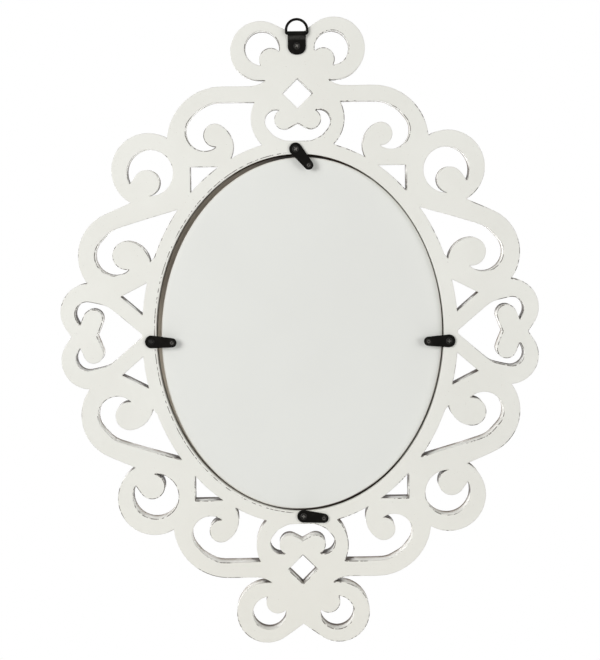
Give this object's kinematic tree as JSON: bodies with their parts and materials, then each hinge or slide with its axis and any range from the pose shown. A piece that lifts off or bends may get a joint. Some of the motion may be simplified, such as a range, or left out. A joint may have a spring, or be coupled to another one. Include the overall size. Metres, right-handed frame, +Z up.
{
  "type": "wall mirror",
  "caption": "Oval wall mirror in a white scrolled fretwork frame, its back panel held by turn buttons, with a strap hanger and a D-ring.",
  "frame": {"origin": "where the nail bears: the underside of the D-ring's arch, at mid-depth of its wire", "axes": "+Z up, the glass faces -Y, +Y points to the wall, X across the mirror"},
  "size_m": [0.473, 0.0268, 0.6208],
  "materials": {
    "white_paint": "white paint on fibreboard, rubbed through to brown along the edges",
    "panel_white": "smooth white-faced hardboard",
    "mirror": "silvered float glass",
    "black_metal": "black satin coat on pressed steel"
  },
  "bodies": {
    "frame": {"scroll_frame": "white_paint", "mirror_glass": "mirror", "back_panel": "panel_white", "hanger_strap": "black_metal", "hanger_screw": "black_metal", "button_screw_left": "black_metal", "button_screw_right": "black_metal", "button_screw_top": "black_metal", "button_screw_bottom": "black_metal"},
    "button_left": {"turn_button_left": "black_metal"},
    "button_right": {"turn_button_right": "black_metal"},
    "button_top": {"turn_button_top": "black_metal"},
    "button_bottom": {"turn_button_bottom": "black_metal"},
    "ring": {"hanger_ring": "black_metal"}
  },
  "joints": [
    {"name": "turn_left", "type": "hinge", "parent": "frame", "child": "button_left", "pos_m": [0.1473, -0.0024, -0.3125], "axis": [0, 1, 0], "continuous": true},
    {"name": "turn_right", "type": "hinge", "parent": "frame", "child": "button_right", "pos_m": [-0.1473, -0.0024, -0.3153], "axis": [0, 1, 0], "continuous": true},
    {"name": "turn_top", "type": "hinge", "parent": "frame", "child": "button_top", "pos_m": [0.0024, -0.0024, -0.1244], "axis": [0, 1, 0], "continuous": true},
    {"name": "turn_bottom", "type": "hinge", "parent": "frame", "child": "button_bottom", "pos_m": [-0.0012, -0.0024, -0.489], "axis": [0, 1, 0], "continuous": true},
    {"name": "ring_swing", "type": "hinge", "parent": "frame", "child": "ring", "pos_m": [0, 0, -0.0125], "axis": [-1, 0, 0], "range_deg": [0, 165]}
  ]
}
